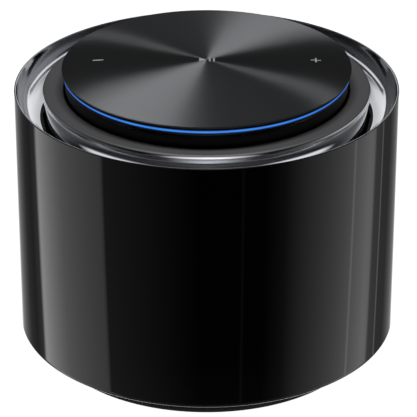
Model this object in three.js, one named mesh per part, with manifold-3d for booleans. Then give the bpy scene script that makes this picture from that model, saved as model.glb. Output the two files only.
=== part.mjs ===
// Portable wireless loudspeaker: a round gloss sleeve around a sealed driver can, with a floating touch
// disc on top. Millimetres, +Z up, origin at the centre of the face it stands on.

import * as THREE from 'three';
import { mergeVertices } from 'three/addons/utils/BufferGeometryUtils.js';
import Module from 'manifold-3d';

const wasm = await Module();
wasm.setup();

// ---------------------------------------------------------------- driving dimensions
const SLEEVE = { radius: 58, wall: 2.4, bottom: 6.3, rim: 85.1, mouth: 57.6, rimFillet: 0.35, footFillet: 1.4 };
const FOOT = { radius: 50.5, inner: 41, rubber: 1.2 };
const BASE = { hole: 31, top: 9.3 };
const CAN = { radius: 51.8, wall: 2, top: 75.3, ledge: 61.5, ledgeInner: 46.3 };
const BAFFLE = { top: 64, hole: 29 };
const DRIVER = { flange: 33, coil: 9.1 };
const LENS = { neck: 42.5, top: 79.3, flange: 45.6, tip: 62.5 };
const FUNNEL = { throat: 50.4, depth: 9, span: 7, back: 55.3, wall: 0.25 };
const RING = { foot: 46, under: 82.9, bore: 43.1, seat: 80.9, top: 85.1 };
const BAND = { lip: 49.7, round: 1.2, split: 47, inner: 47, wallTop: 49.05, wallFoot: 48.6, bottom: 75.2 };
const DISC = { radius: 43.55, crown: 2.1, top: 93.6, under: 90.3 };
const LIGHT = { radius: 43.1, bottom: 88.6 };
const PANEL = { width: 34, height: 11, z: 22, back: 52.1, front: 54.1, gap: 0.3 };
const BUTTON = { radius: 2.7, offset: 10.5 };

const BASE_SCREW_CIRCLE = 38;
const DRIVER_SCREW_CIRCLE = 31.2;
const LENS_SCREW_CIRCLE = 39.5;
const SCREWS_PER_CIRCLE = 4;
const CLEARANCE = 0.05; // between the sleeve and the funnel inside its mouth

const FINE = 40;    // facets round a part that shows
const COARSE = 20;  // facets round a part sealed inside
const SMALL = 8;    // facets round a screw or a hole

const SLEEVE_INNER = SLEEVE.radius - SLEEVE.wall;
const CAN_INNER = CAN.radius - CAN.wall;

// ---------------------------------------------------------------- materials
const FINISHES = {
  gloss_black: { color: 0x050506, roughness: 0.06, metalness: 0.0 },
  satin_black: { color: 0x141415, roughness: 0.45, metalness: 0.0 },
  spun_metal: { color: 0x3a3b3e, roughness: 0.28, metalness: 1.0 },
  bright_metal: { color: 0xd8d9dc, roughness: 0.12, metalness: 1.0 },
  blue_light: { color: 0x2f8cf0, roughness: 0.3, metalness: 0.0 },
  moulded_black: { color: 0x1b1b1c, roughness: 0.6, metalness: 0.0 },
  rubber: { color: 0x101010, roughness: 0.9, metalness: 0.0 },
  steel: { color: 0x9a9ca0, roughness: 0.35, metalness: 1.0 },
  ferrite: { color: 0x2b2b2e, roughness: 0.7, metalness: 0.1 },
  paper: { color: 0x242424, roughness: 0.85, metalness: 0.0 },
  circuit_board: { color: 0x0d4a2c, roughness: 0.5, metalness: 0.0 },
  copper: { color: 0xb26a3c, roughness: 0.4, metalness: 1.0 },
  cell_wrap: { color: 0x2f4f86, roughness: 0.5, metalness: 0.0 },
};

// ---------------------------------------------------------------- helpers

/** Shares the vertices of a closed geometry, drops flat triangles and turns its faces outwards. */
function welded(geometry) {
  geometry.deleteAttribute('normal');
  geometry.deleteAttribute('uv');
  const merged = mergeVertices(geometry, 1e-4);
  const corners = [new THREE.Vector3(), new THREE.Vector3(), new THREE.Vector3()];
  const kept = [];
  let volume = 0;
  for (let i = 0; i < merged.index.count; i += 3) {
    const triangle = [0, 1, 2].map((k) => merged.index.getX(i + k));
    if (new Set(triangle).size < 3) continue;
    kept.push(...triangle);
    triangle.forEach((vertex, k) => corners[k].fromBufferAttribute(merged.attributes.position, vertex));
    volume += corners[0].dot(corners[1].clone().cross(corners[2]));
  }
  merged.setIndex(volume < 0 ? kept.reverse() : kept);
  return merged;
}

/** A solid turned about Z from [radius, height] points. It closes on itself unless it ends on the axis. */
function turned(profile, facets = FINE) {
  const points = profile.map(([r, z]) => new THREE.Vector2(r, z));
  const onAxis = profile[0][0] === 0 && profile.at(-1)[0] === 0;
  if (!onAxis) points.push(points[0].clone());
  return welded(new THREE.LatheGeometry(points, facets).rotateX(Math.PI / 2));
}

/** A flat ring, or a disc where the inner radius is 0. */
function ring(inner, outer, bottom, top, facets = COARSE) {
  return turned([[inner, bottom], [outer, bottom], [outer, top], [inner, top]], facets);
}

/** Points round an arc, angles in degrees, both ends included. */
function arc(r, z, radius, from, to, steps) {
  return Array.from({ length: steps + 1 }, (_, i) => {
    const angle = THREE.MathUtils.degToRad(from + ((to - from) * i) / steps);
    return [r + radius * Math.cos(angle), z + radius * Math.sin(angle)];
  });
}

/** A flat outline raised from one height to another. */
function raised(shape, bottom, top, curveSegments = 6) {
  const options = { depth: top - bottom, bevelEnabled: false, curveSegments };
  return welded(new THREE.ExtrudeGeometry(shape, options).translate(0, 0, bottom));
}

/** The same outline drawn facing the rear, running from one Y to another, centred on height z. */
function facingRear(shape, near, far, z) {
  return raised(shape, near, far).rotateX(-Math.PI / 2).translate(0, 0, z);
}

/** A slot outline with round ends. */
function obround(width, height, x = 0) {
  const radius = height / 2;
  const half = width / 2 - radius;
  const shape = new THREE.Shape();
  shape.absarc(x + half, 0, radius, -Math.PI / 2, Math.PI / 2, false);
  shape.absarc(x - half, 0, radius, Math.PI / 2, (3 * Math.PI) / 2, false);
  return shape;
}

/** A circle outline made of straight facets. */
function circle(radius, x = 0, y = 0, facets = 16) {
  return new THREE.Shape(Array.from({ length: facets }, (_, i) => {
    const angle = (2 * Math.PI * i) / facets;
    return new THREE.Vector2(x + radius * Math.cos(angle), y + radius * Math.sin(angle));
  }));
}

function block(x, y, z, centre) {
  return welded(new THREE.BoxGeometry(x, y, z).translate(...centre));
}

/** Evenly spaced places on a circle, starting half a step from +X. */
function placesOnCircle(radius, count = SCREWS_PER_CIRCLE) {
  return Array.from({ length: count }, (_, i) => {
    const angle = (2 * Math.PI * (i + 0.5)) / count;
    return { x: radius * Math.cos(angle), y: radius * Math.sin(angle), angle };
  });
}

function toSolid(geometry) {
  const vertProperties = Float32Array.from(geometry.attributes.position.array);
  const triVerts = Uint32Array.from(geometry.index.array);
  return new wasm.Manifold(new wasm.Mesh({ numProp: 3, vertProperties, triVerts }));
}

function fromSolid(solid) {
  const { vertProperties, triVerts } = solid.getMesh();
  const geometry = new THREE.BufferGeometry();
  geometry.setAttribute('position', new THREE.BufferAttribute(vertProperties, 3));
  return geometry.setIndex(Array.from(triVerts));
}

function cut(geometry, tools) {
  return fromSolid(tools.reduce((solid, tool) => solid.subtract(toSolid(tool)), toSolid(geometry)));
}

function joined(geometry, additions) {
  return fromSolid(additions.reduce((solid, piece) => solid.add(toSolid(piece)), toSolid(geometry)));
}

/** Round holes drilled along Z at places on a circle. */
function drilled(geometry, circleRadius, holeRadius, bottom, top) {
  const drill = ring(0, holeRadius, bottom, top, SMALL);
  return cut(geometry, placesOnCircle(circleRadius).map(({ x, y }) => drill.clone().translate(x, y, 0)));
}

function piece(name, finish, geometry) {
  const mesh = new THREE.Mesh(geometry, new THREE.MeshStandardMaterial(FINISHES[finish]));
  mesh.name = name;
  return mesh;
}

function group(...members) {
  return new THREE.Group().add(...members);
}

/** A pan-head screw standing on Z: the head lies between z = 0 and its height, and the shank runs up. */
function screw(name, headRadius, headHeight, shankRadius, shankLength) {
  const profile = [
    [0, 0], [headRadius * 0.85, 0], [headRadius, headHeight], [shankRadius, headHeight],
    [shankRadius, headHeight + shankLength], [0, headHeight + shankLength],
  ];
  return piece(name, 'steel', turned(profile, SMALL));
}

/** One screw at each place of a circle, with its head at the given height, pointing up or down. */
function screwCircle(prefix, circleRadius, headZ, size, pointsDown = false) {
  return placesOnCircle(circleRadius).map(({ x, y }, i) => {
    const mesh = screw(`${prefix}_${i + 1}`, ...size);
    mesh.position.set(x, y, headZ);
    if (pointsDown) mesh.rotation.x = Math.PI;
    return mesh;
  });
}

/** A half-roll rubber suspension between two radii, with a flat foot at each edge. */
function halfRoll(name, innerFoot, outerFoot, footWidth, bottom, thickness) {
  const left = innerFoot + footWidth;
  const right = outerFoot - footWidth;
  const middle = (left + right) / 2;
  const roll = (right - left) / 2;
  const profile = [
    [innerFoot, bottom], ...arc(middle, bottom, roll, 180, 0, 4), [outerFoot, bottom],
    [outerFoot, bottom + thickness], ...arc(middle, bottom, roll + thickness, 14, 166, 4),
    [innerFoot, bottom + thickness],
  ];
  return piece(name, 'rubber', turned(profile, COARSE));
}

// ---------------------------------------------------------------- base

function baseAssembly() {
  const plate = turned([
    [BASE.hole, SLEEVE.bottom], [FOOT.inner, SLEEVE.bottom], [FOOT.inner, FOOT.rubber],
    [FOOT.radius - 0.4, FOOT.rubber], [FOOT.radius, FOOT.rubber + 0.4], [FOOT.radius, SLEEVE.bottom],
    [SLEEVE_INNER - 0.4, SLEEVE.bottom], [SLEEVE_INNER - 0.4, BASE.top], [BASE.hole, BASE.top],
  ]);
  const airSlots = [-35, 0, 35].map((degrees) => {
    const slot = block(14, 12, 2.8, [0, FOOT.radius - 4, 4]);
    return slot.rotateZ(THREE.MathUtils.degToRad(degrees));
  });
  const drilledPlate = drilled(cut(plate, airSlots), BASE_SCREW_CIRCLE, 1.8, 0, BASE.top + 1);

  const rubber = ring(FOOT.inner + 0.6, FOOT.radius - 0.9, 0, FOOT.rubber, FINE);

  const grille = circle(BASE.hole + 2, 0, 0, FINE);
  for (const [holes, radius] of [[1, 0], [6, 12], [12, 24]]) {
    for (let i = 0; i < holes; i += 1) {
      const angle = (2 * Math.PI * i) / holes;
      grille.holes.push(circle(3.4, radius * Math.cos(angle), radius * Math.sin(angle), SMALL));
    }
  }

  return group(
    piece('rubber_foot', 'rubber', rubber),
    piece('base_plate', 'satin_black', drilledPlate),
    piece('bass_grille', 'moulded_black', raised(grille, SLEEVE.bottom - 1.2, SLEEVE.bottom)),
    ...screwCircle('base_screw', BASE_SCREW_CIRCLE, SLEEVE.bottom - 1.6, [2.5, 1.6, 1.3, 10.5]),
  );
}

// ---------------------------------------------------------------- shell and can

/** Points up the funnel's quarter-ellipse face, or up a wall that follows it further out. */
function funnelCurve(outwards, from, to, steps) {
  return Array.from({ length: steps + 1 }, (_, i) => {
    const angle = THREE.MathUtils.degToRad(from + ((to - from) * i) / steps);
    const r = FUNNEL.throat + FUNNEL.span * Math.sin(angle);
    return [r + outwards, SLEEVE.rim - FUNNEL.depth * Math.cos(angle)];
  });
}

function outerSleeve() {
  const { radius, bottom, rim, mouth, rimFillet, footFillet } = SLEEVE;
  const tube = turned([
    [SLEEVE_INNER, bottom], ...arc(radius - footFillet, bottom + footFillet, footFillet, -90, 0, 2),
    ...arc(radius - rimFillet, rim - rimFillet, rimFillet, 0, 90, 2),
    [mouth, rim], ...funnelCurve(FUNNEL.wall + CLEARANCE, 50, 82, 3).reverse(), [SLEEVE_INNER, rim - 8.1],
  ]);
  const window = facingRear(obround(PANEL.width, PANEL.height), CAN.radius - 5, radius + 5, PANEL.z);
  return piece('outer_sleeve', 'gloss_black', cut(tube, [window]));
}

function enclosureCan() {
  const tube = turned([
    [CAN_INNER, BASE.top], [CAN.radius, BASE.top], [CAN.radius, CAN.top], [CAN_INNER, CAN.top],
    [CAN_INNER, CAN.ledge], [CAN.ledgeInner, CAN.ledge], [CAN.ledgeInner, CAN.ledge - 2],
    [CAN_INNER, CAN.ledge - 4.5],
  ], COARSE);
  const bossTop = BASE.top + 8;
  const bosses = placesOnCircle(BASE_SCREW_CIRCLE).flatMap(({ x, y, angle }) => {
    const boss = ring(0, 3.2, BASE.top, bossTop, SMALL).translate(x, y, 0);
    const reach = CAN_INNER + 1 - BASE_SCREW_CIRCLE;
    const rib = block(reach, 2, 8, [BASE_SCREW_CIRCLE + reach / 2, 0, BASE.top + 4]).rotateZ(angle);
    return [boss, rib];
  });
  const window = facingRear(obround(30, 8.4), CAN_INNER - 6, CAN.radius + 5, PANEL.z);
  const body = cut(joined(tube, bosses), [window]);
  return piece('enclosure_can', 'moulded_black', drilled(body, BASE_SCREW_CIRCLE, 1.65, 0, bossTop + 1));
}

/** The bright funnel that closes the gap between sleeve and can and leads the sound out. */
function soundFunnel() {
  const { throat, back, wall } = FUNNEL;
  const edge = SLEEVE.mouth - CLEARANCE;
  const edgeTop = SLEEVE.rim - CLEARANCE;
  return piece('sound_funnel', 'bright_metal', turned([
    [throat, CAN.top], ...funnelCurve(0, 0, 82, 7), [edge - 0.2, edgeTop], [edge, edgeTop],
    ...funnelCurve(wall, 50, 82, 3).reverse(), [back, 77.2], [back, CAN.top],
  ]));
}

// ---------------------------------------------------------------- main driver

function driverAssembly() {
  const flangeTop = BAFFLE.top + 1.4;
  const baffle = ring(BAFFLE.hole, CAN_INNER - 0.4, CAN.ledge, BAFFLE.top, COARSE);
  const baffleForLens = drilled(baffle, LENS_SCREW_CIRCLE, 1.6, CAN.ledge - 1, BAFFLE.top + 1);

  const basket = turned([
    [12, 44.5], [19.5, 44.5], [19.5, 47], [28.4, 60], [28.4, BAFFLE.top], [DRIVER.flange, BAFFLE.top],
    [DRIVER.flange, flangeTop], [27.2, flangeTop], [27.2, 60.6], [18.3, 47.6], [18.3, 46], [12, 46],
  ], COARSE);
  const basketWindows = [0, 60, 120].map((degrees) => {
    const opening = block(80, 9, 9, [0, 0, 54.5]);
    return opening.rotateZ(THREE.MathUtils.degToRad(degrees));
  });

  const yoke = turned([[0, 29.5], [17.5, 29.5], [17.5, 32.5], [8, 32.5], [8, 44.5], [0, 44.5]], COARSE);
  const coneProfile = [
    [9.4, 50.7], [10.2, 50.7], [22.6, 64.2], [24.6, 64.7], [24.6, 65.3], [22.2, 65], [9.4, 51.8],
  ];
  const dustCap = [...arc(0, 45.7, 13.6, 38, 72, 2), [0, 59.3]];
  const dustCapInside = dustCap.map(([r, z]) => [r * 0.96, z - 0.5]).reverse();
  const spiderTop = [[17.6, 48.2], [15.5, 47.9], [13.5, 48.7], [11.5, 47.9], [9.4, 48.2]];
  const spiderUnder = spiderTop.map(([r, z]) => [r, z - 0.35]).reverse();

  return group(
    piece('baffle_plate', 'moulded_black', drilled(baffleForLens, DRIVER_SCREW_CIRCLE, 1.2, 0, 70)),
    piece('driver_basket', 'steel', drilled(cut(basket, basketWindows), DRIVER_SCREW_CIRCLE, 1.2, 0, 70)),
    piece('driver_gasket', 'rubber', drilled(ring(29.9, 33, flangeTop, flangeTop + 0.8), 31.2, 1.2, 0, 70)),
    piece('front_plate', 'steel', ring(9.6, 17.5, 41.5, 44.5)),
    piece('magnet', 'ferrite', ring(11, 19, 32.5, 41.5)),
    piece('pole_yoke', 'steel', yoke),
    piece('voice_coil', 'copper', ring(8.5, DRIVER.coil, 38.5, 50.5)),
    piece('cone', 'paper', turned(coneProfile, COARSE)),
    piece('dust_cap', 'paper', turned([...dustCap, ...dustCapInside], COARSE)),
    piece('spider', 'paper', turned([...spiderTop, ...spiderUnder], COARSE)),
    halfRoll('cone_surround', 23, 29.6, 1.4, flangeTop, 0.5),
    ...screwCircle('driver_screw', DRIVER_SCREW_CIRCLE, flangeTop + 1.8, [1.6, 1, 0.9, 4], true),
  );
}

// ---------------------------------------------------------------- bass radiator

function bassRadiator() {
  const rimTop = BASE.top + 2;
  const diaphragm = turned([
    [0, rimTop - 1.7], [21, rimTop - 1.7], [24.4, rimTop - 0.8], [24.4, rimTop], [21, rimTop], [20, rimTop - 0.5],
    [0, rimTop - 0.5],
  ], COARSE);
  return group(
    piece('radiator_frame', 'moulded_black', ring(28.6, 34.4, BASE.top, rimTop)),
    piece('bass_diaphragm', 'moulded_black', diaphragm),
    piece('bass_weight', 'steel', ring(0, 11, rimTop - 0.5, rimTop + 3)),
    halfRoll('bass_surround', 22.2, 30.6, 1.6, rimTop, 0.6),
  );
}

// ---------------------------------------------------------------- acoustic lens

function lensAssembly() {
  const { neck, top, flange, tip } = LENS;
  const bossBottom = 71.5;
  const flare = new THREE.CubicBezierCurve(
    new THREE.Vector2(0, tip), new THREE.Vector2(6, 68.5), new THREE.Vector2(20, 73.2),
    new THREE.Vector2(neck, 74.2),
  );
  const body = turned([
    ...flare.getPoints(5).map(({ x, y }) => [x, y]), [neck, top - 1.6], [flange, top - 0.5], [flange, top],
    [36, top], [36, 77], [0, 77],
  ], COARSE);
  const places = placesOnCircle(LENS_SCREW_CIRCLE);
  const bosses = places.map(({ x, y }) => ring(0, 2.9, bossBottom, 75.5, SMALL).translate(x, y, 0));
  const lens = drilled(joined(body, bosses), LENS_SCREW_CIRCLE, 1.45, 60, 76);

  const posts = places.map(({ x, y }, i) => {
    const post = piece(`lens_post_${i + 1}`, 'moulded_black', ring(1.6, 2.9, BAFFLE.top, bossBottom, SMALL));
    post.position.set(x, y, 0);
    return post;
  });
  const headZ = CAN.ledge - 1.2;
  return group(
    piece('acoustic_lens', 'satin_black', lens), ...posts,
    ...screwCircle('lens_screw', LENS_SCREW_CIRCLE, headZ, [2.3, 1.2, 1.1, 14]),
  );
}

// ---------------------------------------------------------------- floating top

function topAssembly() {
  const { foot, under, bore, seat, top } = RING;
  const { lip, round, split, inner, wallTop, wallFoot, bottom } = BAND;
  const lipArc = (from, to) => arc(lip - round, top - round, round, from, to, 2);
  const seam = [[48.5, top - 1.7], [48.3, under]];
  const ringBody = turned([
    [38, LENS.top], [foot, LENS.top], [foot, under], ...[...seam].reverse(), ...lipArc(split, 90),
    [bore + 0.3, top - 0.3], [bore, top - 0.9], [bore, seat], [38, seat],
  ]);
  const bandBody = turned([
    [inner, bottom], [wallFoot, bottom], [wallTop, under], [wallTop, top - round - 0.3],
    ...lipArc(0, split), ...seam, [inner, under],
  ]);

  const wall = { outer: 42.7, inner: 40.4 };
  const ledge = 86.4;
  const carrier = turned([
    [4, seat], [wall.outer, seat], [wall.outer, LIGHT.bottom], [wall.inner, LIGHT.bottom], [wall.inner, ledge],
    [37.5, ledge], [37.5, ledge - 1.4], [wall.inner, ledge - 3], [wall.inner, seat + 2], [4, seat + 2],
  ], COARSE);

  const lightGuide = turned([
    [38.6, LIGHT.bottom], [wall.outer, LIGHT.bottom], [wall.outer, 89.3], [LIGHT.radius, 89.4],
    [LIGHT.radius, 90.2], [42.8, DISC.under], [38.6, DISC.under],
  ]);

  const crownSteps = 5;
  const crownPower = 8;
  const crown = Array.from({ length: crownSteps + 1 }, (_, i) => {
    const r = (DISC.radius - 0.25) * Math.sqrt(1 - i / crownSteps);
    return [r, DISC.top - DISC.crown * (r / DISC.radius) ** crownPower];
  });
  const touchDisc = turned([
    [0, 91.8], [38.3, 91.8], [38.3, DISC.under], [42.7, DISC.under], [DISC.radius, 90.9],
    [DISC.radius, 91.3], ...crown,
  ]);

  return group(
    piece('top_ring', 'satin_black', ringBody),
    piece('ring_band', 'bright_metal', bandBody),
    piece('disc_carrier', 'satin_black', carrier),
    piece('led_board', 'circuit_board', ring(33, wall.inner - 0.3, ledge, ledge + 1.2)),
    piece('light_guide', 'blue_light', lightGuide),
    piece('touch_board', 'circuit_board', ring(0, 38, DISC.under + 0.3, 91.8)),
    piece('touch_disc', 'spun_metal', touchDisc),
  );
}

// ---------------------------------------------------------------- electronics

function electronics() {
  const battery = { x: -37.5, thickness: 10, width: 36, bottom: 13, height: 42 };
  const clearance = 0.3;
  const wall = 1.5;
  const half = battery.width / 2 + clearance;
  const front = battery.x + battery.thickness / 2;
  const back = battery.x - battery.thickness / 2 - clearance;
  const tray = new THREE.Shape([
    [front, -half], [back, -half], [back, half], [front, half], [front, half + wall],
    [back - wall, half + wall], [back - wall, -half - wall], [front, -half - wall],
  ].map(([x, y]) => new THREE.Vector2(x, y)));

  const board = { x: 38, thickness: 1.6, width: 54, bottom: 13, height: 42 };
  const boardFace = board.x - board.thickness / 2;
  const fins = new THREE.Shape();
  const finPitch = 4;
  const finCount = 5;
  const finWidth = 1.4;
  const heatsinkHalf = ((finCount - 1) * finPitch + finWidth) / 2;
  fins.moveTo(boardFace, -heatsinkHalf);
  for (let i = 0; i < finCount; i += 1) {
    const y = -heatsinkHalf + i * finPitch;
    fins.lineTo(boardFace - 6, y);
    fins.lineTo(boardFace - 6, y + finWidth);
    if (i < finCount - 1) {
      fins.lineTo(boardFace - 1.6, y + finWidth);
      fins.lineTo(boardFace - 1.6, y + finPitch);
    }
  }
  fins.lineTo(boardFace, heatsinkHalf);

  const middle = battery.bottom + battery.height / 2;
  const { x, thickness, width, height } = battery;
  return group(
    piece('battery_pack', 'cell_wrap', block(thickness, width, height, [x, 0, middle])),
    piece('battery_tray', 'moulded_black', raised(tray, battery.bottom - 1, battery.bottom + height * 0.7)),
    piece('main_board', 'circuit_board', block(board.thickness, board.width, board.height, [board.x, 0, middle])),
    piece('amp_heatsink', 'steel', raised(fins, 24, 44)),
  );
}

// ---------------------------------------------------------------- rear controls

/** A push button that slides along -Y in the rear panel, at the given X. */
function pushButton(name, x) {
  const profile = [
    [0, 49.9], [1.5, 49.9], [1.5, 50.6], [3.4, 50.6], [3.4, 51.6], [BUTTON.radius, 51.6],
    [BUTTON.radius, 54.2], [BUTTON.radius - 0.4, 54.6], [0, 54.6],
  ];
  const button = piece(name, 'satin_black', turned(profile, 16).rotateX(-Math.PI / 2));
  button.position.set(x, 0, PANEL.z);
  return button;
}

function rearControls() {
  const { width, height, back, front, gap, z } = PANEL;
  const outline = obround(width - 2 * gap, height - 2 * gap);
  outline.holes.push(obround(9.6, 3.9));
  outline.holes.push(circle(BUTTON.radius + 0.3, BUTTON.offset));
  outline.holes.push(circle(BUTTON.radius + 0.3, -BUTTON.offset));

  const boardBack = 44.6;
  const boardFront = 46.2;
  const socket = facingRear(obround(9, 3.3), boardFront, front - 0.4, z);
  const mouth = facingRear(obround(8.3, 2.6), boardFront + 1, front + 1, z);
  const switchBody = (x) => block(6, 3, 6, [x, boardFront + 1.5, z]);

  return group(
    piece('rear_panel', 'satin_black', facingRear(outline, back, front, z)),
    piece('io_board', 'circuit_board', block(32, boardFront - boardBack, 14, [0, (boardBack + boardFront) / 2, z])),
    piece('usb_c_port', 'steel', cut(socket, [mouth])),
    piece('power_switch', 'moulded_black', switchBody(BUTTON.offset)),
    piece('pairing_switch', 'moulded_black', switchBody(-BUTTON.offset)),
    pushButton('power_button', BUTTON.offset),
    pushButton('pairing_button', -BUTTON.offset),
  );
}

// ---------------------------------------------------------------- assembly

const speaker = group(
  baseAssembly(), outerSleeve(), enclosureCan(), soundFunnel(), driverAssembly(), bassRadiator(),
  lensAssembly(), topAssembly(), electronics(), rearControls(),
);

export default speaker;
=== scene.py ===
import math

import bmesh
import bpy
from mathutils import Matrix, Vector


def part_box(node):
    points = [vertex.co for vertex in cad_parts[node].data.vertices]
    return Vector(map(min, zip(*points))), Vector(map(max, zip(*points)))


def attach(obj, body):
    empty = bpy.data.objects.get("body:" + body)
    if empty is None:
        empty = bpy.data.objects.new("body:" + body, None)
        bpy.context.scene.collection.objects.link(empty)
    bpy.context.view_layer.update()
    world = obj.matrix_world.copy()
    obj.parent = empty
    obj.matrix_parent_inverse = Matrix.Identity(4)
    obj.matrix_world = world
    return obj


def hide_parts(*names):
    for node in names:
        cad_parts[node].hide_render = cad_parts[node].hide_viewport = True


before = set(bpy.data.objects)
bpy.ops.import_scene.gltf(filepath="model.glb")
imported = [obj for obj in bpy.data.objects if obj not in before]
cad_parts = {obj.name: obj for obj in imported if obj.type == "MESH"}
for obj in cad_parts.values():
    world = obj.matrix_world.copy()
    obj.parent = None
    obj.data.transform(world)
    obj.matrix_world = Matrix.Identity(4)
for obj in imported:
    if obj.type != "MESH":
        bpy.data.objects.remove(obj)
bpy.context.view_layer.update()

MM = 0.001
TURNS = 256          # facets round a turned part that shows
SHARP = 35.0         # degrees, the least bend that stays a crisp edge


# ------------------------------------------------------------------ sizes from the CAD model

def top_of(node):
    """Height of the top of a CAD node, in millimetres."""
    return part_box(node)[1][2] / MM


def bottom_of(node):
    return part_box(node)[0][2] / MM


def radius_of(node):
    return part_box(node)[1][0] / MM


def centre_of(node):
    low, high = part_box(node)
    return [(a + b) / 2 / MM for a, b in zip(low, high)]


RADIUS = radius_of("outer_sleeve")
RIM = top_of("outer_sleeve")
SLEEVE_FOOT = bottom_of("outer_sleeve")
LIP_TOP = top_of("top_ring")
LIP_RADIUS = radius_of("ring_band")
DISC_RADIUS = radius_of("touch_disc")
DISC_TOP = top_of("touch_disc")
REAR_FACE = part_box("rear_panel")[1][1] / MM
CONTROL_HEIGHT = centre_of("rear_panel")[2]

# Sizes that the boxes don't give, in millimetres. The inner radius of a hollow part is its bore.
SLEEVE_WALL = 2.4
THROAT = 50.4                # radius of the funnel's foot
FUNNEL_SPAN = 7              # how far the funnel opens towards the rim
FUNNEL_DEPTH = 9
FUNNEL_WALL = 0.25
FUNNEL_BACK = 55.3           # radius of the funnel's back
LIP_ROUND = 1.2              # radius of the round lip that the chrome band and the satin ring share
LIP_SPLIT = 47               # degrees from level: the lip is chrome below this and satin above it
STEP = [(48.5, LIP_TOP - 1.7), (48.3, LIP_TOP - 2.2)]    # where the band meets the ring, inside the lip
BAND_BORE = 47
BAND_WALL = 49.05            # radius of the band under the lip
RING_FOOT = 46
RING_BORE = 43.1
RING_SHELF = 38              # bore of the shelf at the foot of the ring
PEDESTAL_BORE = 4
PEDESTAL_WALL = 40.4
GUIDE_BORE = 38.6
DISC_HOLLOW = (38.3, 91.8)   # radius and height of the hollow under the disc
DISC_UNDERSIDE = 42.4        # radius of the disc's flat underside
CROWN_DROP = 2.1             # how far the disc's face falls to its edge
PRINT_PROUD = 0.03
SHELF_RADIUS = 55.2          # the foot plate's shelf, inside the sleeve
RADIATOR_BORE = 31
FOOT_BORE = 41
SCREW_HOLE = 1.8
CONTROL_WINDOW = (34, 11)    # the slot in the sleeve for the rear controls
SOCKET = (9, 3.3)


# ------------------------------------------------------------------ outlines

def rounded(corners):
    """Replaces each (r, z, radius) corner of a closed outline by a smooth bend."""
    steps = 5
    points = [Vector(corner[:2]) for corner in corners]
    radii = [corner[2] if len(corner) > 2 else 0 for corner in corners]
    outline = []
    for i, (corner, radius) in enumerate(zip(points, radii)):
        before = points[i - 1] - corner
        after = points[(i + 1) % len(points)] - corner
        if radius <= 0:
            outline.append(tuple(corner))
            continue
        reach = radius / math.tan(before.angle(after) / 2)
        reach = min(reach, before.length * 0.49, after.length * 0.49)
        start = corner + before.normalized() * reach
        end = corner + after.normalized() * reach
        for k in range(steps + 1):
            t = k / steps
            outline.append(tuple((1 - t) ** 2 * start + 2 * t * (1 - t) * corner + t * t * end))
    return outline


def circle(radius, x=0.0, y=0.0, count=32):
    return [(x + radius * math.cos(2 * math.pi * k / count), y + radius * math.sin(2 * math.pi * k / count))
            for k in range(count)]


def obround(width, height):
    """A slot with round ends."""
    steps = 20
    radius = height / 2
    half = width / 2 - radius
    right = [(half + radius * math.sin(math.pi * k / steps), -radius * math.cos(math.pi * k / steps))
             for k in range(steps + 1)]
    return right + [(-x, -y) for x, y in right]


def box_outline(width, height, x=0.0, y=0.0):
    return [(x + sx * width / 2, y + sy * height / 2) for sx, sy in ((-1, -1), (1, -1), (1, 1), (-1, 1))]


def sweep(start, end, steps):
    """Angles in radians from one angle in degrees to another."""
    return [math.radians(start + (end - start) * k / steps) for k in range(steps + 1)]


def stroke(radius, width, start, end, x=0.0, y=0.0):
    """A band along an arc, angles in degrees."""
    angles = sweep(start, end, 24)
    outer = [(x + (radius + width / 2) * math.cos(a), y + (radius + width / 2) * math.sin(a)) for a in angles]
    inner = [(x + (radius - width / 2) * math.cos(a), y + (radius - width / 2) * math.sin(a)) for a in angles]
    return outer + inner[::-1]


# ------------------------------------------------------------------ mesh helpers

def add_object(name, mesh):
    obj = bpy.data.objects.new(name, mesh)
    bpy.context.scene.collection.objects.link(obj)
    return obj


def smooth(mesh):
    mesh.polygons.foreach_set("use_smooth", [True] * len(mesh.polygons))
    mesh.set_sharp_from_angle(angle=math.radians(SHARP))


def lathe(name, outline, turns=TURNS):
    """A closed outline of (r, z) points in millimetres, turned about Z."""
    area = sum(a[0] * b[1] - b[0] * a[1] for a, b in zip(outline, outline[1:] + outline[:1]))
    if area < 0:
        outline = outline[::-1]
    vertices, rings = [], []
    for r, z in outline:
        count = 1 if r < 1e-6 else turns
        rings.append(range(len(vertices), len(vertices) + count))
        for k in range(count):
            angle = 2 * math.pi * k / turns
            vertices.append((r * MM * math.cos(angle), r * MM * math.sin(angle), z * MM))
    faces = []
    for low, high in zip(rings, rings[1:] + rings[:1]):
        for k in range(turns):
            n = (k + 1) % turns
            if len(low) == len(high) == 1:
                continue
            if len(low) == 1:
                faces.append((low[0], high[n], high[k]))
            elif len(high) == 1:
                faces.append((low[k], low[n], high[0]))
            else:
                faces.append((low[k], low[n], high[n], high[k]))
    mesh = bpy.data.meshes.new(name)
    mesh.from_pydata(vertices, [], faces)
    mesh.validate()
    smooth(mesh)
    return add_object(name, mesh)


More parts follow.
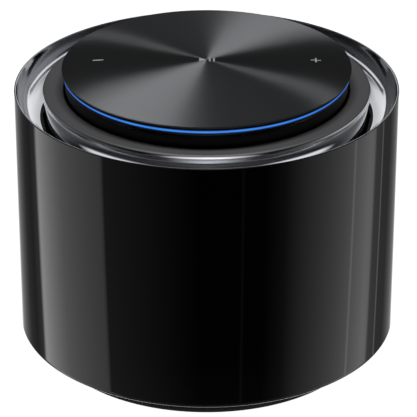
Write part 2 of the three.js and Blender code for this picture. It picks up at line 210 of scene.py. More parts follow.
def flat_part(name, outlines, thickness, placement, bevel=0.0):
    """A flat part: the first outline is its edge, the others are holes. It is centred on its own plane."""
    curve = bpy.data.curves.new(name, "CURVE")
    curve.dimensions = "2D"
    curve.fill_mode = "BOTH"
    curve.extrude = thickness / 2 - bevel
    curve.bevel_depth = bevel
    curve.bevel_resolution = 2
    curve.offset = -bevel
    for outline in outlines:
        spline = curve.splines.new("POLY")
        spline.points.add(len(outline) - 1)
        for point, (x, y) in zip(spline.points, outline):
            point.co = (x, y, 0, 1)
        spline.use_cyclic_u = True
    source = bpy.data.objects.new(name, curve)
    mesh = bpy.data.meshes.new_from_object(source)
    bpy.data.objects.remove(source)
    welder = bmesh.new()
    welder.from_mesh(mesh)
    bmesh.ops.remove_doubles(welder, verts=welder.verts, dist=0.001)
    bmesh.ops.recalc_face_normals(welder, faces=welder.faces)
    welder.to_mesh(mesh)
    welder.free()
    mesh.transform(placement @ Matrix.Scale(MM, 4))
    mesh.materials.clear()
    smooth(mesh)
    return add_object(name, mesh)


def at(x, y, z, turn=0.0):
    """Lays a flat part face up at a place in millimetres."""
    return Matrix.Translation(Vector((x, y, z)) * MM) @ Matrix.Rotation(math.radians(turn), 4, "Z")


def facing_rear(x, y, z):
    """Stands a flat part up with its face towards +Y and its own X to the viewer's right, behind."""
    upright = Matrix(((-1, 0, 0, 0), (0, 0, 1, 0), (0, 1, 0, 0), (0, 0, 0, 1)))
    return Matrix.Translation(Vector((x, y, z)) * MM) @ upright


def join(target, *others):
    """Merges pieces into one object."""
    builder = bmesh.new()
    for obj in (target, *others):
        builder.from_mesh(obj.data)
    builder.to_mesh(target.data)
    builder.free()
    for obj in others:
        bpy.data.objects.remove(obj)
    return target


def cut(obj, *cutters):
    """Takes the cutters out of a piece."""
    for cutter in cutters:
        modifier = obj.modifiers.new("cut", "BOOLEAN")
        modifier.operation = "DIFFERENCE"
        modifier.solver = "EXACT"
        modifier.object = cutter
    bpy.context.view_layer.update()
    evaluated = obj.evaluated_get(bpy.context.evaluated_depsgraph_get())
    mesh = bpy.data.meshes.new_from_object(evaluated)
    obj.modifiers.clear()
    obj.data = mesh
    for cutter in cutters:
        bpy.data.objects.remove(cutter)
    smooth(mesh)
    return obj


def set_normals(obj, rule):
    """Sets the normal of each face corner to rule(point, face normal), or leaves it where that is None."""
    mesh = obj.data
    normals = []
    for polygon in mesh.polygons:
        for corner in polygon.loop_indices:
            point = mesh.vertices[mesh.loops[corner].vertex_index].co
            wanted = rule(point, polygon)
            normals.append(wanted if wanted else mesh.corner_normals[corner].vector)
    mesh.normals_split_custom_set(normals)


def dress(obj, material, replaces=(), body="housing"):
    obj.data.materials.clear()
    obj.data.materials.append(material)
    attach(obj, body)
    if replaces:
        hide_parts(*replaces)
    return obj


# ------------------------------------------------------------------ shader helpers

def shader(name, colour, roughness, metallic=0.0):
    material = bpy.data.materials.new(name)
    material.use_nodes = True
    tree = material.node_tree
    principled = tree.nodes["Principled BSDF"]
    principled.inputs["Base Color"].default_value = (*colour, 1)
    principled.inputs["Roughness"].default_value = roughness
    principled.inputs["Metallic"].default_value = metallic
    return material, tree, principled


def maths(tree, operation, *values):
    node = tree.nodes.new("ShaderNodeMath")
    node.operation = operation
    for socket, value in zip(node.inputs, values):
        if isinstance(value, (int, float)):
            socket.default_value = value
        else:
            tree.links.new(value, socket)
    return node.outputs[0]


def object_point(tree):
    return tree.nodes.new("ShaderNodeTexCoord").outputs["Object"]


def object_axes(tree):
    """The X, Y and Z of a point on the piece, in metres."""
    split = tree.nodes.new("ShaderNodeSeparateXYZ")
    tree.links.new(object_point(tree), split.inputs[0])
    return split.outputs


def from_axis(tree):
    """Distance from the speaker's axis."""
    x, y, _ = object_axes(tree)
    squares = maths(tree, "ADD", maths(tree, "MULTIPLY", x, x), maths(tree, "MULTIPLY", y, y))
    return maths(tree, "SQRT", squares)


def noise(tree, scale, detail=2.0, stretch=(1, 1, 1), vector=None):
    texture = tree.nodes.new("ShaderNodeTexNoise")
    texture.inputs["Scale"].default_value = scale
    texture.inputs["Detail"].default_value = detail
    if vector is None:
        mapping = tree.nodes.new("ShaderNodeMapping")
        mapping.inputs["Scale"].default_value = stretch
        tree.links.new(object_point(tree), mapping.inputs["Vector"])
        vector = mapping.outputs["Vector"]
    tree.links.new(vector, texture.inputs["Vector"])
    return texture.outputs["Fac"]


def turning_marks(tree, per_metre, height_share=0.0):
    """Fine rings round the axis, as a lathe leaves them."""
    combine = tree.nodes.new("ShaderNodeCombineXYZ")
    tree.links.new(from_axis(tree), combine.inputs["X"])
    if height_share:
        tree.links.new(maths(tree, "MULTIPLY", object_axes(tree)[2], height_share), combine.inputs["Y"])
    return noise(tree, per_metre, 3.0, vector=combine.outputs[0])


def spread(tree, value, low, high):
    """Stretches the usual range of a noise to run from low to high."""
    node = tree.nodes.new("ShaderNodeMapRange")
    node.inputs["From Min"].default_value = 0.3
    node.inputs["From Max"].default_value = 0.7
    node.inputs["To Min"].default_value = low
    node.inputs["To Max"].default_value = high
    tree.links.new(value, node.inputs["Value"])
    return node.outputs["Result"]


def blend_colours(tree, factor, first, second):
    mix = tree.nodes.new("ShaderNodeMix")
    mix.data_type = "RGBA"
    mix.inputs["A"].default_value = (*first, 1)
    mix.inputs["B"].default_value = (*second, 1)
    tree.links.new(factor, mix.inputs["Factor"])
    return mix.outputs["Result"]


def bump(tree, principled, height, strength, distance):
    node = tree.nodes.new("ShaderNodeBump")
    node.inputs["Strength"].default_value = strength
    node.inputs["Distance"].default_value = distance
    tree.links.new(height, node.inputs["Height"])
    tree.links.new(node.outputs["Normal"], principled.inputs["Normal"])


# ------------------------------------------------------------------ materials

def gloss_acrylic():
    """Mirror-gloss black acrylic with the faintest handling haze."""
    material, tree, p = shader("gloss_black_acrylic", (0.001, 0.001, 0.0012), 0.02)
    p.inputs["IOR"].default_value = 1.49
    haze = noise(tree, 60, 4.0, (1, 1, 0.25))
    tree.links.new(spread(tree, haze, 0.012, 0.03), p.inputs["Roughness"])
    return material


def black_chrome(name, roughness, metallic):
    """Dark chrome plate over a turned part: fine rings in the polish."""
    material, tree, p = shader(name, (0.84, 0.85, 0.88), roughness, metallic)
    marks = turning_marks(tree, 2200, 0.8)
    tree.links.new(spread(tree, marks, roughness * 0.8, roughness * 1.3), p.inputs["Roughness"])
    tree.links.new(blend_colours(tree, marks, (0.80, 0.81, 0.84), (0.87, 0.88, 0.91)), p.inputs["Base Color"])
    return material


def satin_moulding(name, colour, roughness, gloss=0.5):
    """Satin black plastic with a fine spark-eroded grain."""
    material, tree, p = shader(name, colour, roughness)
    p.inputs["Specular IOR Level"].default_value = gloss
    grain = noise(tree, 5200, 2.0)
    tree.links.new(spread(tree, grain, roughness - 0.05, roughness + 0.06), p.inputs["Roughness"])
    bump(tree, p, grain, 0.12, 0.00002)
    return material


def matt_moulding():
    material, tree, p = shader("matt_moulding", (0.022, 0.022, 0.023), 0.6)
    grain = noise(tree, 3000, 3.0)
    tree.links.new(spread(tree, grain, 0.52, 0.7), p.inputs["Roughness"])
    tree.links.new(blend_colours(tree, grain, (0.018, 0.018, 0.019), (0.027, 0.027, 0.028)), p.inputs["Base Color"])
    bump(tree, p, grain, 0.35, 0.00004)
    return material


def spun_metal():
    """Dark anodised metal turned to its centre, so that light fans out in wedges."""
    material, tree, p = shader("spun_disc", (0.22, 0.225, 0.235), 0.42, 0.9)
    p.inputs["Anisotropic"].default_value = 1.0
    p.inputs["Anisotropic Rotation"].default_value = 0.25
    tangent = tree.nodes.new("ShaderNodeTangent")
    tangent.direction_type = "RADIAL"
    tangent.axis = "Z"
    tree.links.new(tangent.outputs[0], p.inputs["Tangent"])
    marks = turning_marks(tree, 3800)
    tree.links.new(spread(tree, marks, 0.39, 0.45), p.inputs["Roughness"])
    tree.links.new(blend_colours(tree, marks, (0.20, 0.205, 0.215), (0.24, 0.245, 0.255)), p.inputs["Base Color"])
    return material


def lit_guide():
    """The frosted light guide, brightest where the diodes sit behind it, with a painted tint: paler blue at the front
    and back and deeper blue at the sides, for how the glow looks at a grazing view.
    """
    material, tree, p = shader("blue_light_guide", (0.003, 0.008, 0.03), 0.4)
    diodes, brighter_line = 24.0, 0.00016
    x, y, z = object_axes(tree)
    angle = maths(tree, "ARCTAN2", x, y)
    pools = maths(tree, "MULTIPLY_ADD", maths(tree, "COSINE", maths(tree, "MULTIPLY", angle, diodes)), 0.05, 0.5)
    # Painted tint: the colour runs paler at the front and back and deeper blue at the sides, to copy the look of the
    # glow seen at a grazing view.
    painted_view_tint = maths(tree, "MULTIPLY_ADD", maths(tree, "COSINE", maths(tree, "MULTIPLY", angle, 2.0)), 0.16, 0.0)
    glow = maths(tree, "ADD", pools, painted_view_tint)
    colour = blend_colours(tree, glow, (0.004, 0.06, 0.62), (0.07, 0.36, 1.0))
    tree.links.new(colour, p.inputs["Emission Color"])
    low, high = bottom_of("light_guide") * MM, top_of("light_guide") * MM
    middle = (low + high) / 2 + brighter_line
    offset = maths(tree, "ABSOLUTE", maths(tree, "SUBTRACT", z, middle))
    edge = tree.nodes.new("ShaderNodeMapRange")
    edge.interpolation_type = "SMOOTHSTEP"
    edge.inputs["From Min"].default_value = 0.00058
    edge.inputs["From Max"].default_value = 0.00020
    tree.links.new(offset, edge.inputs["Value"])
    tree.links.new(edge.outputs["Result"], p.inputs["Emission Strength"])
    return material


def printed_mark():
    """Pale grey pad-printed ink."""
    material, tree, p = shader("printed_mark", (0.36, 0.37, 0.39), 0.5)
    ink = noise(tree, 9000, 2.0)
    tree.links.new(blend_colours(tree, ink, (0.32, 0.33, 0.35), (0.42, 0.43, 0.45)), p.inputs["Base Color"])
    return material


def rubber():
    material, tree, p = shader("soft_rubber", (0.012, 0.012, 0.012), 0.8)
    p.inputs["Specular IOR Level"].default_value = 0.2
    grain = noise(tree, 2600, 4.0)
    dust = noise(tree, 90, 3.0)
    tree.links.new(spread(tree, grain, 0.7, 0.9), p.inputs["Roughness"])
    tree.links.new(blend_colours(tree, dust, (0.009, 0.009, 0.009), (0.019, 0.019, 0.018)), p.inputs["Base Color"])
    bump(tree, p, grain, 0.4, 0.00005)
    return material


def plated_steel():
    material, tree, p = shader("plated_steel", (0.5, 0.5, 0.52), 0.3, 1.0)
    drawn = noise(tree, 900, 4.0, (1, 1, 6))
    tree.links.new(spread(tree, drawn, 0.22, 0.42), p.inputs["Roughness"])
    tree.links.new(blend_colours(tree, drawn, (0.42, 0.42, 0.44), (0.6, 0.6, 0.61)), p.inputs["Base Color"])
    bump(tree, p, drawn, 0.15, 0.00003)
    return material


def ferrite():
    material, tree, p = shader("sintered_ferrite", (0.05, 0.05, 0.055), 0.6, 0.2)
    grain = noise(tree, 1800, 5.0)
    tree.links.new(blend_colours(tree, grain, (0.03, 0.03, 0.034), (0.09, 0.09, 0.095)), p.inputs["Base Color"])
    bump(tree, p, grain, 0.3, 0.00006)
    return material


def paper_pulp():
    material, tree, p = shader("pulp_fibre", (0.035, 0.035, 0.036), 0.9)
    fibre = noise(tree, 700, 6.0, (1, 1, 3))
    tree.links.new(blend_colours(tree, fibre, (0.02, 0.02, 0.021), (0.06, 0.06, 0.06)), p.inputs["Base Color"])
    bump(tree, p, fibre, 0.6, 0.00012)
    return material


def circuit_board():
    """Green solder mask with paler copper runs under it."""
    material, tree, p = shader("solder_mask", (0.01, 0.1, 0.045), 0.3)
    cells = tree.nodes.new("ShaderNodeTexVoronoi")
    cells.distance = "MANHATTAN"
    cells.feature = "DISTANCE_TO_EDGE"
    cells.inputs["Scale"].default_value = 260
    tree.links.new(object_point(tree), cells.inputs["Vector"])
    runs = maths(tree, "LESS_THAN", cells.outputs["Distance"], 0.07)
    tree.links.new(blend_colours(tree, runs, (0.008, 0.085, 0.04), (0.03, 0.22, 0.09)), p.inputs["Base Color"])
    bump(tree, p, runs, 0.3, 0.00004)
    return material


def copper_winding():
    material, tree, p = shader("enamelled_copper", (0.62, 0.28, 0.12), 0.3, 1.0)
    wave = tree.nodes.new("ShaderNodeTexWave")
    wave.bands_direction = "Z"
    wave.inputs["Scale"].default_value = 1500
    tree.links.new(object_point(tree), wave.inputs["Vector"])
    tree.links.new(blend_colours(tree, wave.outputs["Fac"], (0.4, 0.16, 0.06), (0.7, 0.33, 0.15)),
                   p.inputs["Base Color"])
    bump(tree, p, wave.outputs["Fac"], 0.6, 0.0001)
    return material


def cell_wrap():
    material, tree, p = shader("cell_wrap", (0.05, 0.12, 0.32), 0.35, 0.6)
    creases = noise(tree, 160, 5.0, (1, 1, 0.5))
    tree.links.new(blend_colours(tree, creases, (0.04, 0.09, 0.26), (0.08, 0.17, 0.4)), p.inputs["Base Color"])
    tree.links.new(spread(tree, creases, 0.25, 0.45), p.inputs["Roughness"])
    bump(tree, p, creases, 0.5, 0.0002)
    return material


ACRYLIC = gloss_acrylic()
CHROME = black_chrome("black_chrome", 0.05, 1.0)
SOFT_CHROME = black_chrome("soft_black_chrome", 0.06, 0.95)
SATIN = satin_moulding("satin_moulding", (0.02, 0.02, 0.021), 0.42)
RING_SATIN = satin_moulding("ring_satin", (0.02, 0.02, 0.021), 0.45, 0.12)
FOOT = satin_moulding("foot_moulding", (0.008, 0.008, 0.008), 0.6, 0.15)
MATT = matt_moulding()
SPUN = spun_metal()
GUIDE = lit_guide()
PRINT = printed_mark()
RUBBER = rubber()
STEEL = plated_steel()
FERRITE = ferrite()
PULP = paper_pulp()
BOARD = circuit_board()
COPPER = copper_winding()
WRAP = cell_wrap()


# ------------------------------------------------------------------ outer shell

def funnel_curve(outwards, start, end, steps):
    """Points up the funnel's quarter-ellipse face, or up a wall that follows it further out."""
    return [(THROAT + outwards + FUNNEL_SPAN * math.sin(angle), RIM - FUNNEL_DEPTH * math.cos(angle))
            for angle in sweep(start, end, steps)]


def build_sleeve():
    """The gloss tube, flared inside its mouth, with a window for the rear controls."""
    mouth = RADIUS - 0.4
    wall = funnel_curve(0.3, 50, 84, 12)[::-1]
    sleeve = lathe("gloss_sleeve", rounded([
        (RADIUS - 4, SLEEVE_FOOT, 0.3), (RADIUS, SLEEVE_FOOT, 1.6), (RADIUS, RIM, 0.3), (mouth, RIM)])
        + wall + [(RADIUS - SLEEVE_WALL, RIM - 8.1), (RADIUS - SLEEVE_WALL, 9), (RADIUS - 4, 9)])
    window = flat_part("window", [obround(*CONTROL_WINDOW)], 16, facing_rear(0, RADIUS - 1, CONTROL_HEIGHT))
    cut(sleeve, window)

    def rule(point, polygon):
        straight = SLEEVE_FOOT + 1.8 < point.z / MM < RIM - 0.5
        outer = math.hypot(point.x, point.y) > (RADIUS - 0.02) * MM
        outward = Vector((point.x, point.y, 0)).normalized()
        if straight and outer and polygon.normal.dot(outward) > 0.9:
            return outward
        return None

    set_normals(sleeve, rule)
    dress(sleeve, ACRYLIC, ["outer_sleeve"])


def build_funnel():
    """The concave chrome wall that leads the sound up and out to the rim."""
    low = bottom_of("sound_funnel")
    edge = radius_of("sound_funnel")
    top = RIM - 0.03
    rim = [(edge - 0.17, top - 0.3), (edge - 0.14, top - 0.04), (edge - 0.1, top), (edge, top)]
    back = funnel_curve(FUNNEL_WALL, 50, 84, 12)[::-1] + [(FUNNEL_BACK, 77.2), (FUNNEL_BACK, low), (THROAT, low)]
    face = funnel_curve(0, 0, 84, 30)
    dress(lathe("funnel_chrome", face + rim + back), SOFT_CHROME, ["sound_funnel"])


def lip_arc(start, end):
    """Points round the ring's rounded edge, between two angles from level."""
    return [(LIP_RADIUS - LIP_ROUND + LIP_ROUND * math.cos(angle), LIP_TOP - LIP_ROUND + LIP_ROUND * math.sin(angle))
            for angle in sweep(start, end, 12)]


def build_band():
    """The chrome band round the satin ring: the lower half of a proud round lip over a slightly tapered wall."""
    low = bottom_of("ring_band")
    band = lathe("band_chrome", rounded([
        (BAND_BORE, low), (48.6, low, 0.2), (BAND_WALL, LIP_TOP - 2.2, 0.3), (BAND_WALL, LIP_TOP - 1.5, 0.1)])
        + lip_arc(-8, LIP_SPLIT) + STEP + [(BAND_BORE, LIP_TOP - 2.2)])
    dress(band, CHROME, ["ring_band"])


# ------------------------------------------------------------------ floating top

def build_ring():
    low = bottom_of("top_ring")
    edge = [*STEP[::-1], *lip_arc(LIP_SPLIT, 90)]
    ring = lathe("satin_ring", [(RING_FOOT, LIP_TOP - 2.2), *edge] + rounded([
        (RING_BORE + 0.3, LIP_TOP - 0.3, 0.3), (RING_BORE, LIP_TOP - 0.9), (RING_BORE, low + 1.6),
        (RING_SHELF, low + 1.6), (RING_SHELF, low), (RING_FOOT, low)]))
    return dress(ring, RING_SATIN, ["top_ring"])


def build_pedestal():
    low, high = bottom_of("disc_carrier"), top_of("disc_carrier")
    outer = radius_of("disc_carrier")
    pedestal = lathe("disc_pedestal", rounded([
        (PEDESTAL_BORE, low), (outer, low, 0.2), (outer, high, 0.1), (PEDESTAL_WALL, high),
        (PEDESTAL_WALL, low + 2), (PEDESTAL_BORE, low + 2)]))
    dress(pedestal, ACRYLIC, ["disc_carrier"])


def build_light_ring():
    low, high = bottom_of("light_guide"), top_of("light_guide")
    outer = radius_of("light_guide")
    light_ring = lathe("light_ring", rounded([
        (GUIDE_BORE, low), (outer - 0.4, low), (outer - 0.35, low + 0.8, 0.1), (outer, low + 0.9, 0.15),
        (outer, high - 0.1, 0.15), (outer - 0.4, high), (GUIDE_BORE, high)]))
    light_ring.visible_glossy = False
    light_ring.visible_diffuse = False
    dress(light_ring, GUIDE, ["light_guide"])


def crown_height(r):
    """Height of the disc's face, which turns down near its edge."""
    return DISC_TOP - PRINT_PROUD - CROWN_DROP * (r / DISC_RADIUS) ** 8


def build_disc():
    under = bottom_of("touch_disc")
    edge = DISC_RADIUS - 0.25
    radii = [edge * math.sqrt(1 - k / 24) for k in range(25)]
    crown = [(r, crown_height(r)) for r in radii]
    side = rounded([(DISC_UNDERSIDE, under), (43.1, under + 0.45, 0.2), (DISC_RADIUS, under + 0.65, 0.2),
                    (DISC_RADIUS, under + 1.15, 0.15), crown[0]])[1:-1]
    hollow, ceiling = DISC_HOLLOW
    disc = lathe("spun_disc", [(0, ceiling), (hollow, ceiling), (hollow, under), (DISC_UNDERSIDE, under), *side,
                               *crown])

    def rule(point, polygon):
        upward = polygon.normal.z > 0.7 and polygon.center.z > (under + 1.2) * MM
        return Vector((0, 0, 1)) if upward else None

    set_normals(disc, rule)
    return dress(disc, SPUN, ["touch_disc"])


def mark(name, outline, x):
    """A printed key symbol, a few hundredths proud of the disc."""
    thickness = 0.3
    z = crown_height(abs(x)) + PRINT_PROUD - thickness / 2
    slope = (crown_height(abs(x) + 0.5) - crown_height(abs(x) - 0.5)) * math.copysign(1, x)
    place = at(x, 0, z) @ Matrix.Rotation(-math.atan(slope), 4, "Y")
    return dress(flat_part(name, [outline], thickness, place), PRINT)


def build_marks():
    """Minus, play/pause and plus, printed across the middle of the disc."""
    reach = 32.6
    arm, half = 1.55, 0.24
    plus = [(arm, -half), (arm, half), (half, half), (half, arm), (-half, arm), (-half, half),
            (-arm, half), (-arm, -half), (-half, -half), (-half, -arm), (half, -arm), (half, -half)]
    return [
        mark("minus_mark", box_outline(3.1, 0.7), -reach),
        mark("plus_mark", plus, reach + 0.2),
        mark("play_mark", [(-1.1, -1.35), (1.15, 0), (-1.1, 1.35)], -1.15),
        mark("pause_mark_left", box_outline(0.45, 2.7), 0.95),
        mark("pause_mark_right", box_outline(0.5, 2.7), 2.2),
    ]


# ------------------------------------------------------------------ base and underside

def build_base():
    """The foot plate: an upright wall on the rubber ring, a shelf under the sleeve, slots at the rear."""
    low, high = bottom_of("base_plate"), top_of("base_plate")
    outer = radius_of("rubber_foot") + 0.9
    base = lathe("foot_plate", rounded([
        (RADIATOR_BORE, SLEEVE_FOOT, 0.3), (FOOT_BORE, SLEEVE_FOOT), (FOOT_BORE, low, 0.2), (outer - 0.2, low, 0.5),
        (outer, SLEEVE_FOOT), (SHELF_RADIUS, SLEEVE_FOOT), (SHELF_RADIUS, high), (RADIATOR_BORE, high)]))
    cutters = []
    for degrees in (-35, 0, 35):
        turn = Matrix.Rotation(math.radians(degrees), 4, "Z")
        cutters.append(flat_part(f"slot_{degrees}", [obround(14, 2.8)], 12, turn @ facing_rear(0, outer - 4, 4)))
    for node in SCREWS["base"]:
        x, y, _ = centre_of(node)
        cutters.append(flat_part(f"hole_{node}", [circle(SCREW_HOLE)], 16, at(x, y, 7)))
    cut(base, *cutters)
    dress(base, FOOT, ["base_plate"])


def build_rubber_foot():
    """Non-slip ring with three shallow grooves in its tread."""
    inner, outer = FOOT_BORE + 0.6, radius_of("rubber_foot")
    high = top_of("rubber_foot")
    tread = [(inner, high), (inner, 0.3), (inner + 0.3, 0.0)]
    for k in range(3):
        r = inner + (k + 1) * (outer - inner) / 4
        tread += [(r - 0.45, 0.0), (r - 0.25, 0.4), (r + 0.25, 0.4), (r + 0.45, 0.0)]
    tread += [(outer - 0.3, 0.0), (outer, 0.3), (outer, high)]
    dress(lathe("rubber_tread", tread), RUBBER, ["rubber_foot"])


def build_grille():
    """A perforated plate over the bass radiator: rings of round holes."""
    low, high = bottom_of("bass_grille"), top_of("bass_grille")
    outer = radius_of("bass_grille")
    hole, pitch = 1.7, 5.2
    holes = [circle(hole, count=20)]
    for k in range(1, 6):
        for i in range(6 * k):
            angle = 2 * math.pi * i / (6 * k)
            holes.append(circle(hole, pitch * k * math.cos(angle), pitch * k * math.sin(angle), 20))
    plate = flat_part("bass_grille_plate", [circle(outer, count=96), *holes], high - low,
                      at(0, 0, (low + high) / 2), bevel=0.15)
    dress(plate, MATT, ["bass_grille"])


SCREWS = {kind: [f"{kind}_screw_{i}" for i in (1, 2, 3, 4)] for kind in ("base", "driver", "lens")}


def build_screw(node):
    """A pan-head screw, head down, with a cross recess and a threaded shank."""
    low, high = bottom_of(node), top_of(node)
    x, y, _ = centre_of(node)
    head = radius_of(node) - x if x > 0 else -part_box(node)[0][0] / MM + x
    head_height = head * 0.62
    shank = head * 0.5
    outline = [(0, 0), (head * 0.7, 0), (head, head_height * 0.45), (head, head_height), (shank, head_height)]
    pitch = shank * 0.45
    z = head_height + pitch
    while z < high - low - shank:
        outline += [(shank * 0.8, z - pitch * 0.5), (shank, z)]
        z += pitch
    outline += [(shank * 0.75, high - low - shank), (0, high - low)]
    screw = lathe(f"{node}_fine", outline, 32)
    arms = [flat_part(f"arm_{i}", [box_outline(head * 1.1, head * 0.26)], head_height * 1.3, at(0, 0, 0, 45 + 90 * i))
            for i in (0, 1)]
    cut(screw, *arms)
    screw.data.transform(at(x, y, low))
    dress(screw, STEEL, [node])


# ------------------------------------------------------------------ rear controls

def build_rear_panel():
    low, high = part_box("rear_panel")
    width, height = (high[0] - low[0]) / MM, (high[2] - low[2]) / MM
    thickness = (high[1] - low[1]) / MM
    keys = [centre_of(node)[0] for node in ("power_button", "pairing_button")]
    outlines = [obround(width, height), obround(SOCKET[0] + 0.6, SOCKET[1] + 0.6), *(circle(3.0, -x, 0) for x in keys)]
    place = facing_rear(0, REAR_FACE - thickness / 2, CONTROL_HEIGHT)
    panel = flat_part("rear_control_panel", outlines, thickness, place, bevel=0.25)
    dress(panel, SATIN, ["rear_panel"])

    lamp = flat_part("charge_lamp", [circle(0.45, count=24)], 0.3,
                     facing_rear(0, REAR_FACE - 0.13, CONTROL_HEIGHT + 3.6), bevel=0.08)
    dress(lamp, PRINT)


def build_socket():
    """The charging socket: a drawn steel shell with a tongue and its contacts."""
    low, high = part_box("usb_c_port")
    depth = (high[1] - low[1]) / MM
    back = low[1] / MM
    middle = back + depth / 2
    shell = flat_part("charge_socket", [obround(*SOCKET), obround(SOCKET[0] - 0.7, SOCKET[1] - 0.7)], depth,
                      facing_rear(0, middle, CONTROL_HEIGHT), bevel=0.08)
    rear_wall = flat_part("socket_wall", [obround(SOCKET[0] - 0.4, SOCKET[1] - 0.4)], 0.8,
                          facing_rear(0, back + 0.5, CONTROL_HEIGHT))
    dress(join(shell, rear_wall), STEEL, ["usb_c_port"])
    tongue = flat_part("socket_tongue", [box_outline(6.6, 0.7)], depth - 1.6,
                       facing_rear(0, middle - 0.2, CONTROL_HEIGHT), bevel=0.1)
    dress(tongue, MATT)
    contacts = [flat_part(f"contact_{i}", [box_outline(0.28, 0.8, (i - 5.5) * 0.5)], depth - 3,
                          facing_rear(0, middle, CONTROL_HEIGHT)) for i in range(12)]
    dress(join(*contacts), COPPER)


def build_button(node, body, symbol):
    """A domed cap with a printed symbol."""
    x, _, z = centre_of(node)
    back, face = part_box(node)[0][1] / MM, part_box(node)[1][1] / MM
    cap = lathe(f"{node}_cap", rounded([
        (0, 0), (1.5, 0), (1.5, 0.7), (3.4, 0.7, 0.1), (3.4, 1.7, 0.1), (2.7, 1.7), (2.7, face - back - 0.08, 0.35),
        (1.8, face - back - 0.16, 0.5), (0, face - back - 0.3)]), 96)
    cap.data.transform(Matrix.Translation(Vector((x, back, z)) * MM) @ Matrix.Rotation(-math.pi / 2, 4, "X"))
    dress(cap, SATIN, [node], body)
    pieces = [flat_part(f"{node}_symbol_{i}", [outline], 0.2, facing_rear(x, face - 0.3, z))
              for i, outline in enumerate(symbol)]
    symbol_piece = join(*pieces)
    symbol_piece.name = f"{node}_symbol"
    dress(symbol_piece, PRINT, body=body)


POWER_SYMBOL = [stroke(0.95, 0.26, 120, 420), box_outline(0.26, 1.1, 0, 0.75)]
PAIRING_SYMBOL = [circle(0.3, -0.9, 0, 16), stroke(0.8, 0.24, -50, 50, -0.9), stroke(1.45, 0.24, -50, 50, -0.9)]


# ------------------------------------------------------------------ make the pieces

build_sleeve()
build_funnel()
build_band()
RING = build_ring()
build_pedestal()
build_light_ring()
DISC = build_disc()
MARKS = build_marks()
build_base()
build_rubber_foot()
build_grille()
build_rear_panel()
build_socket()
build_button("power_button", "power_key", POWER_SYMBOL)
build_button("pairing_button", "pairing_key", PAIRING_SYMBOL)
for screw_node in SCREWS["base"]:
    build_screw(screw_node)

KEPT_MATERIALS = {
    MATT: ["enclosure_can", "baffle_plate", "radiator_frame", "bass_diaphragm", "battery_tray", "power_switch",
           "pairing_switch", "lens_post_1", "lens_post_2", "lens_post_3", "lens_post_4"],
    SATIN: ["acoustic_lens"],
    RUBBER: ["driver_gasket", "cone_surround", "bass_surround"],
    STEEL: ["driver_basket", "front_plate", "pole_yoke", "bass_weight", "amp_heatsink", *SCREWS["driver"],
            *SCREWS["lens"]],
    FERRITE: ["magnet"],
    PULP: ["cone", "dust_cap", "spider"],
    BOARD: ["led_board", "touch_board", "main_board", "io_board"],
    COPPER: ["voice_coil"],
    WRAP: ["battery_pack"],
}
for material, nodes in KEPT_MATERIALS.items():
    for node in nodes:
        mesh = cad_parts[node].data
        mesh.materials.clear()
        mesh.materials.append(material)


# ------------------------------------------------------------------ studio

# The light of the studio in compass degrees, 0 at the front and positive to the right: the wall below the
# horizon, the wall above it, the panel in front, the edge of the ceiling, and its middle.
LOW = [(-180, 1.7), (-166, 1.2), (-161, 0.45), (-152, 0.28), (-140, 0.1), (-130, 0.08), (-122, 0.2), (-119, 1.9),
       (-95, 1.1), (-64, 0.75), (-62, 0.17), (-5, 0.0), (20.5, 0.0), (21.4, 0.08), (22.3, 0.0), (34, 0.0), (47, 0.08),
       (60, 0.33), (96, 0.96), (97, 1.6), (98, 0.98), (112, 1.12), (117, 0.9), (119, 0.3), (127, 0.2), (128, 0.6),
       (129.2, 0.15), (140, 0.1), (152, 0.25), (161, 0.4), (166, 1.2), (180, 1.7)]
MIDDLE = [(-180, 0.72), (-170, 0.8), (-160, 0.92), (-148, 0.85), (-142, 0.6), (-133, 0.2), (-120, 0.12), (-95, 0.08),
          (-70, 0.05), (-40, 0.0), (40, 0.0), (60, 0.05), (78, 0.15), (95, 0.35), (120, 0.42), (133, 0.45), (142, 0.7),
          (152, 0.95), (162, 0.95), (172, 0.82), (180, 0.75)]
FRONT = [(-180, 0), (-44, 0.0), (-32, 0.08), (-20, 0.75), (-10, 1.1), (0, 1.3), (12, 1.25), (25, 0.6), (38, 0.05),
         (44, 0.0), (180, 0)]
CEILING = [(-180, 0.09), (-173, 0.035), (-160, 0.02), (-155, 0.11), (-150, 0.35), (-147, 0.75), (-137, 1.1),
           (-125, 0.6), (-112, 0.08), (-60, 0.03), (-25, 0.1), (0, 0.6), (25, 0.2), (60, 0.03), (112, 0.08), (125, 0.6),
           (137, 1.1), (147, 1.0), (152, 0.6), (156, 0.15), (160, 0.02), (173, 0.035), (180, 0.09)]
ZENITH = [(-180, 0.1), (-110, 0.15), (-55, 0.35), (0, 1.1), (55, 0.35), (110, 0.15), (180, 0.1)]
# How much of each part counts, against height in degrees, and the light that the pale floor throws up.
LOW_SHARE = [(-90, 0), (-58, 0), (-44, 1), (-10, 1), (2, 0), (90, 0)]
MIDDLE_SHARE = [(-90, 0), (-10, 0), (2, 1), (14, 1), (27, 0.8), (33, 0.35), (38, 0.15), (50, 0), (90, 0)]
FRONT_SHARE = [(-90, 0), (-10, 0), (2, 1), (44, 0.85), (52, 0.3), (60, 0), (90, 0)]
CEILING_SHARE = [(-90, 0), (48, 0), (53, 1), (64, 1), (72, 0), (90, 0)]
ZENITH_SHARE = [(-90, 0), (66, 0), (73, 1), (90, 1)]
FLOOR_GLOW = [(-90, 0.16), (-60, 0.14), (-40, 0.04), (-34, 0.0), (90, 0)]
DOME_RADIUS = 3.0
FLOOR_REACH = 6.0
BRIGHTEST = 2.0      # a ramp's colours stop at 1, so its levels are stored over this


def emissive(name):
    material = bpy.data.materials.new(name)
    material.use_nodes = True
    tree = material.node_tree
    tree.nodes.clear()
    out = tree.nodes.new("ShaderNodeOutputMaterial")
    emission = tree.nodes.new("ShaderNodeEmission")
    tree.links.new(emission.outputs[0], out.inputs["Surface"])
    return material, tree, emission


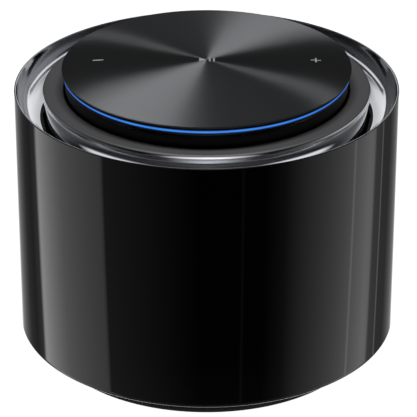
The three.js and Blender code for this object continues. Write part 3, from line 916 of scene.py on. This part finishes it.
def ramp(tree, value, stops, first, span):
    """Light level over a value from 0 to 1, which stands for degrees from first to first + span."""
    node = tree.nodes.new("ShaderNodeValToRGB")
    elements = node.color_ramp.elements
    while len(elements) < len(stops):
        elements.new(0.5)
    for element, (degrees, level) in zip(elements, stops):
        element.position = (degrees - first) / span
        element.color = (*[level / BRIGHTEST] * 3, 1)
    tree.links.new(value, node.inputs["Fac"])
    return maths(tree, "MULTIPLY", node.outputs["Color"], BRIGHTEST)


def dome_of_light():
    """A round studio wall and ceiling of soft panels, seen only in reflections."""
    mesh = bpy.data.meshes.new("studio_dome")
    builder = bmesh.new()
    bmesh.ops.create_uvsphere(builder, u_segments=96, v_segments=48, radius=DOME_RADIUS)
    bmesh.ops.reverse_faces(builder, faces=builder.faces)
    builder.to_mesh(mesh)
    builder.free()
    dome = add_object("studio_dome", mesh)
    dome.location = (0, 0, 0.08)
    material, tree, emission = emissive("studio_panels")
    x, y, z = object_axes(tree)
    azimuth = maths(tree, "ARCTAN2", x, maths(tree, "MULTIPLY", y, -1.0))
    azimuth = maths(tree, "MULTIPLY_ADD", azimuth, 1 / (2 * math.pi), 0.5)
    height = maths(tree, "ARCSINE", maths(tree, "DIVIDE", z, DOME_RADIUS))
    height = maths(tree, "MULTIPLY_ADD", height, 1 / math.pi, 0.5)
    total = ramp(tree, height, FLOOR_GLOW, -90, 180)
    for around, share in ((LOW, LOW_SHARE), (MIDDLE, MIDDLE_SHARE), (CEILING, CEILING_SHARE),
                          (ZENITH, ZENITH_SHARE), (FRONT, FRONT_SHARE)):
        level = maths(tree, "MULTIPLY", ramp(tree, azimuth, around, -180, 360), ramp(tree, height, share, -90, 180))
        total = maths(tree, "ADD", total, level)
    tree.links.new(total, emission.inputs["Strength"])
    mesh.materials.append(material)
    dome.visible_camera = False
    dome.visible_diffuse = False
    dome.visible_shadow = False
    return dome


def floor():
    mesh = bpy.data.meshes.new("floor")
    corners = [(x, y, 0) for x, y in box_outline(2 * FLOOR_REACH, 2 * FLOOR_REACH)]
    mesh.from_pydata(corners, [], [(0, 1, 2, 3)])
    obj = add_object("floor", mesh)
    material, _, p = shader("floor", (0.9, 0.9, 0.9), 0.8)
    p.inputs["Emission Color"].default_value = (1, 1, 1, 1)
    p.inputs["Emission Strength"].default_value = 1.0
    mesh.materials.append(material)
    obj.visible_glossy = False


def area(name, direction, distance, size, power, height=None):
    """A soft box that lights the top of the speaker from a direction."""
    light = bpy.data.lights.new(name, "AREA")
    light.shape = "RECTANGLE"
    light.size = size
    light.size_y = height or size
    light.energy = power
    obj = bpy.data.objects.new(name, light)
    bpy.context.scene.collection.objects.link(obj)
    aim = Vector(direction).normalized()
    obj.location = aim * distance + Vector((0, 0, DISC_TOP * MM))
    obj.rotation_euler = aim.to_track_quat("Z", "Y").to_euler()
    obj.visible_camera = False
    return obj


def link_light(light, objects, state):
    """Limits which pieces a light falls on."""
    collection = bpy.data.collections.new(f"{light.name}_receivers")
    for obj in objects:
        collection.objects.link(obj)
    light.light_linking.receiver_collection = collection
    for entry in collection.collection_objects:
        entry.light_linking.link_state = state


def white_world():
    """White behind the object, nearly dark for everything else."""
    world = bpy.data.worlds.new("studio")
    bpy.context.scene.world = world
    world.use_nodes = True
    tree = world.node_tree
    path = tree.nodes.new("ShaderNodeLightPath")
    colour = blend_colours(tree, path.outputs["Is Camera Ray"], (0.06, 0.06, 0.06), (1, 1, 1))
    tree.links.new(colour, tree.nodes["Background"].inputs["Color"])


# name, direction, distance and width in metres, power, the pieces it falls on, height if it isn't square
SOFT_BOXES = [
    ("key_left", (-0.52, 0.21, 0.83), 0.8, 0.70, 3.9, [DISC], None),
    ("strip_right", (0.686, 0.481, 0.546), 0.9, 0.10, 0.6, [DISC], 0.3),
    ("ring_sky", (0.0, 0.11, 0.994), 0.8, 0.55, 21.0, [RING], 0.25),
    ("mark_sky", (0.0, 0.0, 1.0), 0.8, 0.25, 4.0, MARKS, None),
    ("disc_sky", (0.0, 0.1, 1.0), 1.2, 2.2, 1.6, [DISC], None),
]
link_light(dome_of_light(), [DISC, RING], "EXCLUDE")
floor()
for name, direction, distance, size, power, receivers, height in SOFT_BOXES:
    link_light(area(name, direction, distance, size, power, height), receivers, "INCLUDE")
white_world()

DOWNWARDS = 26.723   # degrees that the camera looks down
lens = bpy.data.cameras.new("camera")
lens.lens = 241.0
lens.sensor_width = 36
camera = bpy.data.objects.new("camera", lens)
bpy.context.scene.collection.objects.link(camera)
camera.location = (0.00057, -0.76851, 0.43043)
camera.rotation_euler = (math.radians(90 - DOWNWARDS), 0, 0)
bpy.context.scene.camera = camera
bpy.context.scene.view_settings.view_transform = "Standard"
